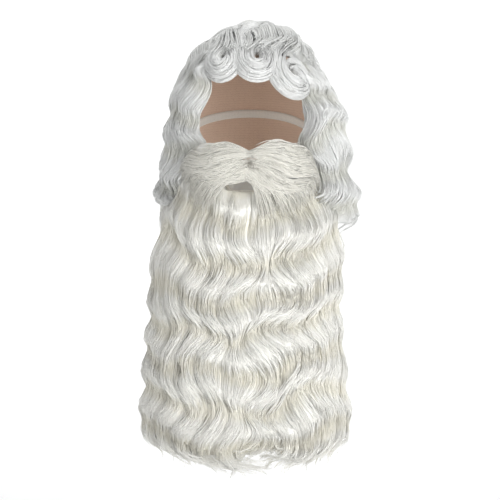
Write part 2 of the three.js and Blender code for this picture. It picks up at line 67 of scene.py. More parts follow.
# how much of its loft the hair stands out, by share of its drop
WIG_FORM = {
    "drop": SIDE_HAIR_DROP, "boxy": 1.0, "seed": 21, "waves": (0.16, 0.97), "side_ridge": 0.75,
    "pits": (), "body_end": 0.9, "tip_fullness": 0.6,
    "at": (0.0, 0.1, 0.22, 0.33, 0.48, 0.66, 0.88, 1.0),
    "left": (-0.6, -0.06, 0.16, 0.32, 0.46, 0.54, 0.7, 0.7),
    "right": (-0.5, 0.06, 0.26, 0.54, 0.79, 0.77, 1.04, 1.04),
    "front": (-0.75, -0.2, 0.25, 0.45, 0.45, 0.45, 0.45, 0.45),
    "back": (-1.2, -0.1, 0.6, 0.95, 1.0, 0.85, 0.65, 0.6),
}
BEARD_FORM = {
    "drop": BEARD_DROP, "boxy": 0.84, "seed": 31, "waves": (0.33, 0.98), "side_ridge": 0.55,
    "body_end": 0.955, "tip_fullness": 0.75,
    # azimuth, drop, half width and half height in mm, depth
    "pits": ((-33, 0.762, 7, 6, 11), (-24, 0.825, 13, 7, 8), (11, 0.783, 6, 5, 8),
             (38, 0.855, 9, 5, 7), (-20, 0.56, 18, 7, 5)),
    "at": (0.24, 0.31, 0.38, 0.46, 0.57, 0.7, 0.82, 0.92, 1.0),
    "left": (0.1, 0.25, 0.38, 0.7, 0.8, 0.88, 0.98, 1.06, 0.98),
    "right": (0.12, 0.25, 0.38, 0.66, 0.62, 0.62, 0.78, 0.84, 0.78),
    "front": (0.55, 0.68, 0.72, 0.9, 1.0, 1.0, 0.95, 0.88, 0.75),
    "back": (0, 0, 0, 0, 0, 0, 0, 0, 0),
}
# piece, azimuth, root, tip, phase
WIG_LOCKS = (
    ("side_hair_right", 51, 0.15, 0.94, 0.3), ("side_hair_right", 69, 0.15, 1.0, 0.36),
    ("side_hair_right", 87, 0.16, 0.97, 0.45), ("back_hair", 109, 0.17, 1.06, 0.52),
    ("back_hair", 137, 0.18, 1.1, 0.6), ("back_hair", 166, 0.18, 1.16, 0.64),
    ("back_hair", 195, 0.18, 1.14, 0.58), ("back_hair", 223, 0.18, 1.09, 0.46),
    ("back_hair", 251, 0.17, 1.03, 0.3), ("side_hair_left", 272, 0.16, 0.9, 0.2),
    ("side_hair_left", 290, 0.15, 0.95, 0.12), ("side_hair_left", 308, 0.15, 0.87, 0.0),
)
BEARD_LOCKS = (
    ("beard_side_left", -75, 0.26, 0.95, 0.5), ("beard_side_left", -59, 0.28, 0.97, 0.45),
    ("beard_side_left", -44, 0.3, 0.984, 0.36), ("beard_front_left", -30, 0.33, 0.995, 0.24),
    ("beard_front_left", -17, 0.365, 1.005, 0.14), ("beard_front_left", -5, 0.37, 1.01, 0.05),
    ("beard_front_right", 6, 0.37, 0.965, 0.16), ("beard_front_right", 17, 0.365, 0.99, 0.24),
    ("beard_front_right", 30, 0.33, 0.995, 0.3), ("beard_side_right", 44, 0.3, 0.99, 0.42),
    ("beard_side_right", 59, 0.28, 0.98, 0.54), ("beard_side_right", 75, 0.26, 0.962, 0.6),
)
# name, azimuth, drop as a share of HAIRLINE_DROP, size as a share of FRINGE_CURL_RADIUS
FRINGE_CURLS = (
    ("fringe_curl_left", -25, 0.74, 1.0), ("fringe_curl_middle", 8, 0.7, 1.15),
    ("fringe_curl_right", 37, 1.14, 1.12),
)
# azimuth, reach, root, bow, tip
MOUSTACHE_LOCKS = {
    "left": ((1, 54, 0.84, 0.82, 0.85), (2, 60, 0.86, 0.89, 0.92), (9, 48, 0.9, 0.95, 0.96)),
    "right": ((3, 52, 0.84, 0.82, 0.87), (4, 56, 0.87, 0.91, 0.97), (8, 46, 0.92, 1.03, 1.05)),
}


# Small helpers
def lerp(a, b, share):
    return a + (b - a) * share


def smoothstep(x, low, high):
    share = np.clip((x - low) / (high - low), 0, 1)
    return share * share * (3 - 2 * share)


def signed_power(value, power):
    return np.sign(value) * np.abs(value) ** power


def unit(vectors):
    return vectors / np.maximum(np.linalg.norm(vectors, axis=-1, keepdims=True), 1e-9)


def column(form, name, share):
    """A column of a form's table, with its corners rounded off."""
    spread = np.array((-0.03, -0.015, 0, 0.015, 0.03))
    return np.mean([np.interp(share + d, form["at"], form[name]) for d in spread], axis=0)


def place_on(form, azimuth, drop, inset):
    """Points on a form, with the way out of it. Azimuth in radians, the rest in mm."""
    sin, cos = np.sin(azimuth), np.cos(azimuth)
    share = drop / form["drop"]
    side = HEAD_WIDTH / 2 + SIDE_LOFT * lerp(
        column(form, "left", share), column(form, "right", share), smoothstep(sin, -0.1, 0.1))
    deep = HEAD_LENGTH / 2 + np.where(
        cos > 0, FRONT_LOFT * column(form, "front", share), BACK_LOFT * column(form, "back", share))
    boxy = form["boxy"]
    points = np.stack(((side - inset) * signed_power(sin, boxy),
                       -(deep - inset) * signed_power(cos, boxy), -drop + 0 * sin), axis=-1)
    out = unit(np.stack((signed_power(sin, 2 - boxy) / side,
                         -signed_power(cos, 2 - boxy) / deep, 0 * sin), axis=-1))
    return points, out


def between(locks, place, index):
    low = np.clip(np.floor(place).astype(int), 0, len(locks) - 2)
    values = np.array([lock[index] for lock in locks], float)
    return lerp(values[low], values[low + 1], place - low)


def fullness(form, share):
    at_root, at_tip = smoothstep(share, 0, 0.2), smoothstep(share, 0.88, 1)
    return lerp(0.7, 1, at_root) * lerp(1, form["tip_fullness"], at_tip)


# Meshes
def make_object(name, body, points, faces, uv, tint):
    """A mesh object from arrays. faces is a list of (n, 3) and (n, 4) arrays."""
    mesh = bpy.data.meshes.new(name)
    loops = np.concatenate([f.ravel() for f in faces]).astype(np.int32)
    sizes = np.concatenate([np.full(len(f), f.shape[1]) for f in faces]).astype(np.int32)
    starts = np.concatenate(([0], np.cumsum(sizes)[:-1])).astype(np.int32)
    mesh.vertices.add(len(points))
    mesh.vertices.foreach_set("co", (points * MM).astype(np.float32).ravel())
    mesh.loops.add(len(loops))
    mesh.loops.foreach_set("vertex_index", loops)
    mesh.polygons.add(len(sizes))
    mesh.polygons.foreach_set("loop_start", starts)
    mesh.polygons.foreach_set("loop_total", sizes)
    mesh.update(calc_edges=True)
    mesh.polygons.foreach_set("use_smooth", np.ones(len(sizes), bool))
    layer = mesh.uv_layers.new(name="flow")
    layer.data.foreach_set("uv", uv[loops].astype(np.float32).ravel())
    colour = mesh.color_attributes.new("tint", "FLOAT_COLOR", "POINT")
    rgba = np.concatenate((tint, np.ones((len(tint), 1))), axis=1)
    colour.data.foreach_set("color", rgba.astype(np.float32).ravel())
    mesh.validate()
    mesh.update()
    made = bpy.data.objects.new(name, mesh)
    bpy.context.scene.collection.objects.link(made)
    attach(made, body)
    return made


def join(parts):
    """One set of arrays from several (points, faces, uv, tint)."""
    points, faces, uv, tint, count = [], [], [], [], 0
    for part_points, part_faces, part_uv, part_tint in parts:
        points.append(part_points)
        uv.append(part_uv)
        tint.append(part_tint)
        faces += [f + count for f in part_faces]
        count += len(part_points)
    return np.concatenate(points), faces, np.concatenate(uv), np.concatenate(tint)


def grid_faces(rows, columns, offset=0, flip=False):
    first = np.arange(rows - 1)[:, None] * columns + np.arange(columns - 1)[None, :] + offset
    quads = np.stack((first, first + 1, first + columns + 1, first + columns), axis=-1)
    quads = quads.reshape(-1, 4)
    return quads[:, ::-1] if flip else quads


# the inside of a sheet has every so many rows and columns of its outside
INSIDE_ROWS, INSIDE_COLUMNS = 5, 6
INSIDE_GRID = (slice(None, None, INSIDE_ROWS), slice(None, None, INSIDE_COLUMNS))


def sheet_faces(rows, columns):
    """Faces of a closed sheet: a fine outside grid and a coarse inside, whose points come after
    the outside's."""
    inner_rows = (rows - 1) // INSIDE_ROWS + 1
    inner_columns = (columns - 1) // INSIDE_COLUMNS + 1
    size = rows * columns
    faces = [grid_faces(rows, columns, 0, True), grid_faces(inner_rows, inner_columns, size)]

    def wall(fine, coarse, step, flip):
        j = np.arange(len(coarse) - 1)
        made = []
        for k in range(step):
            made.append(np.stack((coarse[j], fine[j * step + k], fine[j * step + k + 1]), axis=-1))
        made.append(np.stack((coarse[j], fine[(j + 1) * step], coarse[j + 1]), axis=-1))
        made = np.concatenate(made)
        return made[:, ::-1] if flip else made

    row, column = np.arange(rows) * columns, np.arange(columns)
    inner_row = size + np.arange(inner_rows) * inner_columns
    inner_column = size + np.arange(inner_columns)
    below = (inner_rows - 1) * inner_columns
    return faces + [
        wall(row, inner_row, INSIDE_ROWS, True),
        wall(row + columns - 1, inner_row + inner_columns - 1, INSIDE_ROWS, False),
        wall(column, inner_column, INSIDE_COLUMNS, False),
        wall(row[-1] + column, below + inner_column, INSIDE_COLUMNS, True),
    ]


def closed_sheet(outer, inner, uv, tint):
    """The arrays of a closed sheet from the points of its outside and its inside. uv and tint are
    the outside's."""
    rows, columns = outer.shape[:2]
    return (np.concatenate((outer.reshape(-1, 3), inner.reshape(-1, 3))),
            sheet_faces(rows, columns),
            np.concatenate((uv.reshape(-1, 2), uv[INSIDE_GRID].reshape(-1, 2))),
            np.concatenate((tint.reshape(-1, 3), tint[INSIDE_GRID].reshape(-1, 3))))


def path_frame(places, outs):
    """The ways along, across and up from paths that lie on a surface with the ways out outs."""
    along = unit(np.gradient(places, axis=-2))
    across = unit(np.cross(along, outs))
    return along, across, np.cross(across, along)


def taper(t, root_end, tip_start, loss):
    """The share of its thickness that a strand has: it thins at its root and to its tip."""
    return smoothstep(t, -0.02, root_end) * (1 - loss * smoothstep(t, tip_start, 1))


def tubes(paths, outs, radius, flat, uv_place, tint):
    """Closed three-sided tubes. paths and outs (S, N, 3), radius (S, N), tint (S, N, 3)."""
    strands, count = paths.shape[:2]
    _, across, lift = path_frame(paths, outs)
    angles = np.radians((90, 210, 330))
    rings = paths[:, :, None, :] + radius[:, :, None, None] * (
        np.cos(angles)[None, None, :, None] * across[:, :, None, :]
        + flat * np.sin(angles)[None, None, :, None] * lift[:, :, None, :])
    base = (np.arange(strands) * count * 3)[:, None, None]
    ring = (np.arange(count - 1) * 3)[None, :, None]
    side = np.arange(3)[None, None, :]
    after = (side + 1) % 3
    quads = np.stack((base + ring + side, base + ring + after,
                      base + ring + 3 + after, base + ring + 3 + side), axis=-1).reshape(-1, 4)
    quads = quads[:, ::-1]
    first = base[:, 0, 0]
    last = first + (count - 1) * 3
    caps = np.concatenate((np.stack((first, first + 1, first + 2), axis=-1),
                           np.stack((last + 2, last + 1, last), axis=-1)))
    share = np.linspace(0, 1, count)
    uv = np.stack(np.broadcast_arrays(uv_place[:, None, None], share[None, :, None]
                                      + np.zeros((1, 1, 3))), axis=-1).reshape(-1, 2)
    return (rings.reshape(-1, 3), [quads, caps], uv,
            np.repeat(tint.reshape(-1, 3), 3, axis=0))


# The head
def head_ring(z, offset):
    """Half the width of the head, and its reach to the front and to the back, at a height."""
    high = CROWN_HEIGHT + offset
    ring = np.sqrt(np.clip(1 - ((z + CROWN_HEIGHT) / high) ** 2, 0, 1))
    share = np.clip((-z - CROWN_HEIGHT) / (CHIN_DROP - CROWN_HEIGHT), 0, 1)
    drops = (0, *JAW_LEVELS["drop"])

    def jaw(name, half):
        low = half * np.interp(share, drops, (1, *JAW_LEVELS[name])) + offset
        return np.where(z > -CROWN_HEIGHT, (half + offset) * ring, low)

    return jaw("side", HEAD_WIDTH / 2), jaw("front", HEAD_LENGTH / 2), jaw("back", HEAD_LENGTH / 2)


def head_point(azimuth, z, offset):
    """A point of the head, offset out from it, at an azimuth and a height in mm."""
    side, front, back = head_ring(z, offset)
    cos = np.cos(azimuth)
    return np.stack((side * np.sin(azimuth), -np.where(cos > 0, front, back) * cos, z + 0 * cos),
                    axis=-1)


def clear_of_head(points, gap):
    """Moves what lies inside the head and its cloth out of it, level by level."""
    x, y, z = np.moveaxis(points, -1, 0)
    side, front, back = head_ring(np.minimum(z, -4), CAP_OUTSIDE + gap)
    reach = np.hypot(x / side, y / np.where(y < 0, front, back))
    inside = (reach < 1) & (z > -CHIN_DROP) & (z < 0)
    grow = np.where(inside, 1 / np.maximum(reach, 0.2), 1)
    return np.stack((x * grow, y * grow, z), axis=-1)


# The waves of the hair
def wave_angle(form, locks, place, share, root, tip):
    """The waves are counted from a common level, so that they line up from lock to lock."""
    first, last = form["waves"][0] * form["drop"], form["waves"][1] * form["drop"]
    level = np.clip((lerp(root, tip, share) - first) / (last - first), -0.3, 1.3)
    length = lerp(ROOT_WAVE_LENGTH, TIP_WAVE_LENGTH, level)
    turns = (last - first) * np.log(ROOT_WAVE_LENGTH / length) / (ROOT_WAVE_LENGTH - TIP_WAVE_LENGTH)
    phase = between(locks, place, 4) * lerp(1, 0.5, share)
    return 2 * math.pi * (turns + phase), length


def drop_share(form, root, tip, share):
    return lerp(root, tip, share) / form["drop"]


def ripple(place, share, seed):
    """A slow, smooth, repeatable unevenness over a layer of hair, mostly between -1 and 1."""
    rng = np.random.default_rng(seed)
    total = 0
    for k in range(7):
        across, down, start = rng.uniform(0.04, 0.3), rng.uniform(-2.6, 2.6), rng.uniform(0, 1)
        total = total + np.sin(2 * math.pi * (across * place + down * share + start))
    return total / 2.6


def hair_surface(form, locks, place, share, depth, amount=1.0, shift=0.0, tip_curl=None,
                 inner=False):
    """Points of the hair at a place among the locks and a share of their length, depth mm below
    its outside, with the way out and how deep in a fold of the waves they lie, the measure of
    painted shade in the folds."""
    azimuth = between(locks, place, 1)
    bulge = np.abs(np.cos(math.pi * place)) ** LOCK_ROUNDNESS
    root = between(locks, place, 2) * form["drop"]
    tip = between(locks, place, 3) * form["drop"] - LOCK_SCALLOP * (1 - bulge)
    wave, length = wave_angle(form, locks, place, share, root, tip)
    uneven = ripple(place, share, form["seed"])
    wave = wave + shift + WAVE_UNEVENNESS * uneven
    amount = amount * (1 + SWING_UNEVENNESS * ripple(place, share, form["seed"] + 1))
    centre = PARTING_WANDER * np.sin(drop_share(form, root, tip, share) * 13 + 1.0)
    side = np.clip(-np.sin(np.radians(azimuth - centre)) / math.sin(math.radians(PARTING)), -1, 1)
    fade = smoothstep(share, 0, 0.3)
    reach = WAVE_SLOPE * length * fade / (2 * math.pi)
    swing = reach * np.sin(wave) * amount
    drop = lerp(root, tip, share)
    squeeze = 0.1 * reach * np.sin(2 * wave)
    full = fullness(form, share)
    middle = HAIR_THICKNESS / 2
    if inner:
        inset = middle + middle * full - depth
    else:
        inset = middle - (middle - LOCK_RELIEF * (1 - bulge)) * full + depth
    lateral = side * swing
    rise = 0
    if tip_curl is not None:
        start, direction, most = tip_curl
        past = np.clip((share - start) / (1 - start), 0, 1)
        run = (1 - start) * (tip - root)
        angle = past * most
        lateral = lateral + direction * run / most * (1 - np.cos(angle))
        rise = past * run - run / most * np.sin(angle)
    turn = lateral / HAIR_REACH
    points, out = place_on(form, np.radians(azimuth) + turn, drop - squeeze - rise, inset)
    for pit_azimuth, pit_drop, wide, tall, deep in form["pits"]:
        across = np.radians(azimuth - pit_azimuth) * HAIR_REACH / wide
        down = (drop - pit_drop * form["drop"] - 0.4 * across * tall) / tall
        points = points - out * (deep * np.exp(-across ** 2 - down ** 2))[..., None]
    high = RIDGE_HEIGHT * (1 + RIDGE_UNEVENNESS * ripple(place, share, form["seed"] + 2))
    high = high * lerp(1, form["side_ridge"], smoothstep(np.abs(out[..., 0]), 0.5, 0.9))
    roll = np.cos(2 * wave) + ROLL_SKEW * np.sin(4 * wave)
    points = points + out * (high * roll)[..., None]
    # painted shade: the deeper a point lies in a fold of the waves, the darker and yellower its
    # colour
    fold_shade = 0.5 - 0.5 * np.cos(2 * wave)
    return points, out, fold_shade


def noise_line(rng, size, smooth):
    """A smooth random line, mostly between -2 and 2."""
    values = rng.normal(size=size + 6 * smooth)
    kernel = np.exp(-0.5 * (np.arange(-3 * smooth, 3 * smooth + 1) / max(smooth, 1)) ** 2)
    line = np.convolve(values, kernel / math.sqrt((kernel ** 2).sum()), mode="valid")
    return line[:size]


def root_shade(share):
    """The hair is darker at its roots, partly the cloth showing through it and partly painted shade.
    """
    return 0.3 * (1 - smoothstep(share, 0.02, 0.14))


def locks_of(locks, name):
    """The place of a piece's first lock among all locks of its form, and how many it has."""
    names = [lock[0] for lock in locks]
    return names.index(name), names.count(name)


def hair_body(rng, form, locks, name, rows, per_lock, open_side):
    """The closed mass of a layer of hair, its outside combed into fine ridges."""
    first, count = locks_of(locks, name)
    columns = per_lock * count + 1
    place = first - 0.5 + np.linspace(0.004, count - 0.004, columns)[None, :]
    share = np.linspace(0, form["body_end"], rows)[:, None]
    place, share = np.broadcast_arrays(place, share)
    from_left, from_right = place - first + 0.5, first + count - 0.5 - place
    fine = noise_line(rng, columns, 1)
    coarse = noise_line(rng, columns, 3)
    comb = (0.5 * fine + 0.8 * coarse)[None, :] * smoothstep(share, 0, 0.15)
    comb = comb * (0.6 + 0.4 * np.sin(2 * math.pi * (3 * share + 0.3 * coarse[None, :])))
    comb = comb * smoothstep(np.minimum(from_left, from_right), 0, 0.2)
    depth = BODY_DEPTH - COMB_RELIEF * comb
    # a side with no neighbour is rounded off
    if open_side:
        distance = from_left if open_side == "left" else from_right
        depth = depth + 9 * (1 - smoothstep(distance, 0, 0.45)) ** 2
    depth = depth + 7 * (1 - smoothstep(share, 0, 0.07)) \
        + 9 * smoothstep(share, form["body_end"] - 0.065, form["body_end"])
    outer, _, fold_shade = hair_surface(form, locks, place, share, depth)
    inner, _, _ = hair_surface(form, locks, place[INSIDE_GRID], share[INSIDE_GRID], BODY_DEPTH,
                               inner=True)
    outer, inner = clear_of_head(outer, 1.0), clear_of_head(inner, 0.5)
    uv = np.stack((place, share), axis=-1)
    # the tint carries the painted shade of the folds, the strand's tone darkened at its roots, and
    # the share along the hair
    tint = np.stack((fold_shade, 0.5 - 0.25 * comb - root_shade(share), share), axis=-1)
    return closed_sheet(outer, inner, uv, tint)


def hair_strands(rng, form, locks, name, clumps, each, segments, width, start=(0.0, 0.25),
                 stop=(0.92, 1.01), depth=(-0.5, 0.6), spread=0.2, over=0.3, centre=None):
    """Strands in clumps that follow the waves: each clump has its own small change of phase, size
    and depth, and its strands draw together towards the tip."""
    first, count = locks_of(locks, name)
    total = clumps * each
    clump = np.repeat(np.arange(clumps), each)

    def of_clump(values):
        return values[clump][:, None]

    def varied(by_clump, by_strand):
        """A random value for each strand: its clump's and a small one of its own."""
        return of_clump(rng.normal(0, by_clump, clumps)) + rng.normal(0, by_strand, total)[:, None]

    if centre is None:
        centre = first - 0.5 + (np.arange(clumps) + rng.uniform(0, 1, clumps)) / clumps * count
    else:
        centre = first - 0.5 + count * centre + rng.uniform(-0.03, 0.03, clumps)
    offset = rng.normal(0, spread / 2, total)
    low = (start[0] + (start[1] - start[0]) * rng.uniform(0, 1, clumps) ** 3)[clump]
    high = (stop[0] + (stop[1] - stop[0]) * rng.uniform(0, 1, clumps) ** 0.5)[clump]
    high = np.clip(high + rng.normal(0, 0.01, total), 0.2, 1.015)
    t = np.linspace(0, 1, segments)[None, :]
    share = low[:, None] + (high - low)[:, None] * t
    sideways = of_clump(rng.normal(0, 0.04, clumps))
    turns = of_clump(rng.uniform(0.5, 1.5, clumps))
    wander = sideways * np.sin(2 * math.pi * (t * turns + of_clump(rng.uniform(0, 1, clumps))))
    gather = 1 - 0.55 * smoothstep(t, 0.1, 0.9)
    place = centre[clump][:, None] + offset[:, None] * gather + wander
    place = np.clip(place, first - 0.5 - over, first + count - 0.5 + over)
    lie = of_clump(rng.uniform(depth[0], depth[1], clumps)) + rng.normal(0, 0.22, total)[:, None]
    # the outer strands of a clump lie a little deeper
    lie = lie + 1.1 * 0.35 * (offset / (spread / 2))[:, None] ** 2 - 0.2
    # the root of a strand dives under the surface, and so does a tip at the end of its layer
    lie = lie + 3.0 * (1 - smoothstep(t, 0, 0.08)) * (low[:, None] > 0.03)
    lie = lie + 6.5 * smoothstep(share, 0.92, 1.02)
    amount = 1.08 + varied(0.07, 0.02)
    shift = varied(0.16, 0.035)
    # the tips sweep towards the middle of the front, less so at the sides, and a few away from it
    azimuth = np.radians(between(locks, centre, 1))
    inward = np.where(np.sin(azimuth) < 0, 1, -1) * lerp(1, 0.3, smoothstep(
        np.abs(np.sin(azimuth)), 0.5, 0.85))
    way = of_clump(inward * np.where(rng.uniform(size=clumps) < 0.2, -1, 1))
    curl_start = 0.93 - of_clump(rng.uniform(0, 0.04, clumps))
    curl = (curl_start, way, of_clump(rng.uniform(0.9, 2.4, clumps)))
    points, out, fold_shade = hair_surface(form, locks, place, share, lie, amount, shift, curl)
    points = clear_of_head(points, 1.0)
    thick = width / 2 * rng.uniform(0.75, 1.25, total)[:, None]
    tone = varied(0.045, 0.05)
    # the tint carries the painted shade of the folds, the strand's tone darkened at its root, and
    # the share along the hair
    tint = np.stack(np.broadcast_arrays(fold_shade, 0.5 + tone - root_shade(share), share), axis=-1)
    return tubes(points, out, thick * taper(t, 0.1, 0.72, 0.75), 0.6, centre[clump] + offset, tint)


# Camera, light and ground
# in m: the width that the picture shows at the depth of the face, and the camera's height
FRAME_WIDTH, FACE_DEPTH, CAMERA_HEIGHT = 0.585, -0.04, -0.255
LENS, SENSOR = 135, 36
SKY_COLOUR, SKY_STRENGTH = (0.97, 0.985, 1.0, 1), 0.24
# name, place, target, size in m, power in W
LIGHTS = (
    ("key", (1.0, -1.5, -0.15), (0, 0, -0.25), 1.0, 24),
    ("fill", (-0.7, -1.7, -0.3), (0, 0, -0.25), 1.2, 12),
    ("backdrop", (0.0, 0.6, 2.4), (0, 2.4, 0.0), 2.0, 75),
)
# in m: heights, the backdrop's distance, the radius between floor and backdrop, half the width
FLOOR, BACKDROP_TOP, BACKDROP, BEND, HALF_WIDTH = -0.62, 5, 2.4, 1.2, 6

camera_data = bpy.data.cameras.new("camera")
camera_data.lens, camera_data.sensor_width = LENS, SENSOR
camera = bpy.data.objects.new("camera", camera_data)
camera.location = (0, FACE_DEPTH - FRAME_WIDTH * LENS / SENSOR, CAMERA_HEIGHT)
camera.rotation_euler = (math.pi / 2, 0, 0)
bpy.context.scene.collection.objects.link(camera)
bpy.context.scene.camera = camera
bpy.context.scene.view_settings.view_transform = "Standard"


def set_inputs(made, **values):
    """Sets a node's inputs by name, with an underscore for each space."""
    for key, value in values.items():
        made.inputs[key.replace("_", " ")].default_value = value
    return made


world = bpy.data.worlds.new("studio")
world.use_nodes = True
set_inputs(world.node_tree.nodes["Background"], Color=SKY_COLOUR, Strength=SKY_STRENGTH)
bpy.context.scene.world = world


def area_light(name, location, target, size, power):
    data = bpy.data.lights.new(name, "AREA")
    data.shape, data.size, data.energy = "SQUARE", size, power
    light = bpy.data.objects.new(name, data)
    light.location = location
    way = np.array(target, float) - np.array(location, float)
    way /= np.linalg.norm(way)
    light.rotation_euler = (math.acos(-way[2]), 0, math.atan2(way[1], way[0]) - math.pi / 2)
    bpy.context.scene.collection.objects.link(light)


for light in LIGHTS:
    area_light(*light)


def new_material(name, **values):
    """A material, its node tree and its main shader, with the shader's inputs set."""
    material = bpy.data.materials.new(name)
    material.use_nodes = True
    tree = material.node_tree
    return material, tree, set_inputs(tree.nodes["Principled BSDF"], **values)


def cyclorama():
    """The floor, curving up into a backdrop of the same colour."""
    profile = [(-HALF_WIDTH, FLOOR), (BACKDROP - BEND, FLOOR)]
    profile += [(BACKDROP - BEND + BEND * math.sin(a), FLOOR + BEND - BEND * math.cos(a))
                for a in np.linspace(0, math.pi / 2, 13)[1:]]
    profile.append((BACKDROP, BACKDROP_TOP))
    points = [(x, y, z) for y, z in profile for x in (-HALF_WIDTH, HALF_WIDTH)]
    quads = [(2 * i, 2 * i + 1, 2 * i + 3, 2 * i + 2) for i in range(len(profile) - 1)]
    mesh = bpy.data.meshes.new("floor")
    mesh.from_pydata(points, [], quads)
    mesh.polygons.foreach_set("use_smooth", [True] * len(mesh.polygons))
    floor_object = bpy.data.objects.new("floor", mesh)
    bpy.context.scene.collection.objects.link(floor_object)
    floor_material, _, _ = new_material(
        "studio_floor", Base_Color=(0.9, 0.9, 0.9, 1), Roughness=0.9)
    mesh.materials.append(floor_material)


cyclorama()


# Materials
def node(tree, kind, **values):
    return set_inputs(tree.nodes.new(kind), **values)


def flow_coordinates(tree):
    flow = node(tree, "ShaderNodeUVMap")
    flow.uv_map = "flow"
    return flow.outputs["UV"]


def colour_ramp(tree, *stops):
    """A ramp between two stops, each a place and a colour."""
    ramp = node(tree, "ShaderNodeValToRGB")
    for element, (place, colour) in zip(ramp.color_ramp.elements, stops):
        element.position, element.color = place, (*colour, 1)
    return ramp


def add_bump(tree, shader, height, strength, distance, invert=False):
    bump = node(tree, "ShaderNodeBump", Strength=strength, Distance=distance)
    bump.invert = invert
    tree.links.new(height, bump.inputs["Height"])
    tree.links.new(bump.outputs["Normal"], shader.inputs["Normal"])


def hair_material(name, light, dark, fold_shade_colour):
    """Synthetic hair: fine strands along the flow, with painted shade, darker and yellower in the
    folds.
    """
    material, tree, shader = new_material(
        name, Roughness=0.36, Specular_IOR_Level=0.45, Sheen_Weight=0.25, Sheen_Roughness=0.4,
        Subsurface_Weight=0.2, Subsurface_Radius=(1.0, 0.95, 0.88), Subsurface_Scale=0.006)
    link = tree.links.new
    # the tint attribute: red is the painted shade of the folds, green the strand's tone, blue the
    # share along the hair
    tint = node(tree, "ShaderNodeAttribute")
    tint.attribute_name = "tint"
    parts = node(tree, "ShaderNodeSeparateColor")
    link(tint.outputs["Color"], parts.inputs["Color"])
    stretch = node(tree, "ShaderNodeMapping", Scale=STRAND_STRETCH)
    link(flow_coordinates(tree), stretch.inputs["Vector"])
    strands = node(tree, "ShaderNodeTexNoise", Scale=1.0, Detail=3.0, Roughness=0.65)
    link(stretch.outputs["Vector"], strands.inputs["Vector"])
    # half the tone is the strand's own, half the noise's
    tone = node(tree, "ShaderNodeMix")
    tone.data_type = "FLOAT"
    tone.inputs[0].default_value = 0.5
    link(parts.outputs["Green"], tone.inputs[2])
    link(strands.outputs["Fac"], tone.inputs[3])
    ramp = colour_ramp(tree, (0.25, dark), (0.65, light))
    link(tone.outputs[0], ramp.inputs["Fac"])
    # painted shade: the deeper in a fold, the more the colour is multiplied by the darker, yellower
    # fold colour
    fold_shade_amount = node(tree, "ShaderNodeMapRange", From_Min=0.35, From_Max=1.0, To_Max=0.75)
    link(parts.outputs["Red"], fold_shade_amount.inputs["Value"])
    mix = node(tree, "ShaderNodeMix")
    mix.data_type, mix.blend_type = "RGBA", "MULTIPLY"
    link(fold_shade_amount.outputs["Result"], mix.inputs["Factor"])
    link(ramp.outputs["Color"], mix.inputs[6])
    mix.inputs[7].default_value = (*fold_shade_colour, 1)
    link(mix.outputs[2], shader.inputs["Base Color"])
    add_bump(tree, shader, strands.outputs["Fac"], 0.4, 0.0012)
    return material


def cloth_material(name, colour, dark, bump_distance, roughness):
    """Knitted cloth: threads round small holes, as a bump and darker dots."""
    material, tree, shader = new_material(name, Roughness=roughness, Sheen_Weight=0.3)
    cells = node(tree, "ShaderNodeTexVoronoi", Scale=1.0, Randomness=0.35)
    cells.feature = "DISTANCE_TO_EDGE"
    tree.links.new(flow_coordinates(tree), cells.inputs["Vector"])
    ramp = colour_ramp(tree, (0.1, colour), (0.4, dark))
    tree.links.new(cells.outputs["Distance"], ramp.inputs["Fac"])
    tree.links.new(ramp.outputs["Color"], shader.inputs["Base Color"])
    add_bump(tree, shader, cells.outputs["Distance"], 0.6, bump_distance, invert=True)
    return material


# cells of the noise across a lock, along it, and the third way, which isn't used
STRAND_STRETCH = (34, 2.2, 1)
# the darker, yellower colours that the hair is multiplied by in the folds: painted shade
WIG_FOLD_SHADE, BEARD_FOLD_SHADE = (0.88, 0.87, 0.8), (0.93, 0.9, 0.8)
# the light and the dark strands, and what the colour is multiplied by in the folds, as painted shade
HAIR_COLOURS = {
    "wig_hair": ((0.9, 0.905, 0.89), (0.78, 0.785, 0.77), WIG_FOLD_SHADE),
    # crown_hair is a darker copy of wig_hair: painted shade over the top of the head
    "crown_hair": ((0.76, 0.765, 0.745), (0.6, 0.605, 0.585), WIG_FOLD_SHADE),
    "beard_hair": ((0.95, 0.94, 0.9), (0.86, 0.85, 0.785), BEARD_FOLD_SHADE),
    "moustache_hair": ((0.86, 0.85, 0.815), (0.72, 0.71, 0.66), BEARD_FOLD_SHADE),
}
# the threads and the holes, the depth of the bump in m, the roughness
CLOTHS = {
    "net": ((0.78, 0.6, 0.48), (0.6, 0.42, 0.33), 0.0006, 0.85),
    "backing": ((0.86, 0.82, 0.74), (0.7, 0.66, 0.58), 0.0005, 0.9),
    "elastic": ((0.9, 0.89, 0.85), (0.75, 0.74, 0.7), 0.0004, 0.8),
}
MATERIALS = {name: hair_material(name, *looks) for name, looks in HAIR_COLOURS.items()}
MATERIALS.update({name: cloth_material(name, *looks) for name, looks in CLOTHS.items()})


def finish_piece(made, node_name, material):
    made.data.materials.append(material)
    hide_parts(node_name)


# The layers of hair
# name, rows and columns of the body, clumps, strands in each, points along a strand
LAYERS = (
    ("side_hair_left", 66, 24, 44, 5, 36), ("side_hair_right", 66, 24, 48, 5, 36),
    ("back_hair", 66, 18, 74, 4, 31),
    ("beard_side_left", 111, 24, 46, 6, 37), ("beard_front_left", 111, 24, 52, 6, 37),
    ("beard_front_right", 111, 24, 52, 6, 37), ("beard_side_right", 111, 24, 46, 6, 37),
)
# clumps, strands in each, points along a strand, its width in mm
TIP_STRANDS = 30, 5, 13, 1.1
STRAND_WIDTH = 0.95
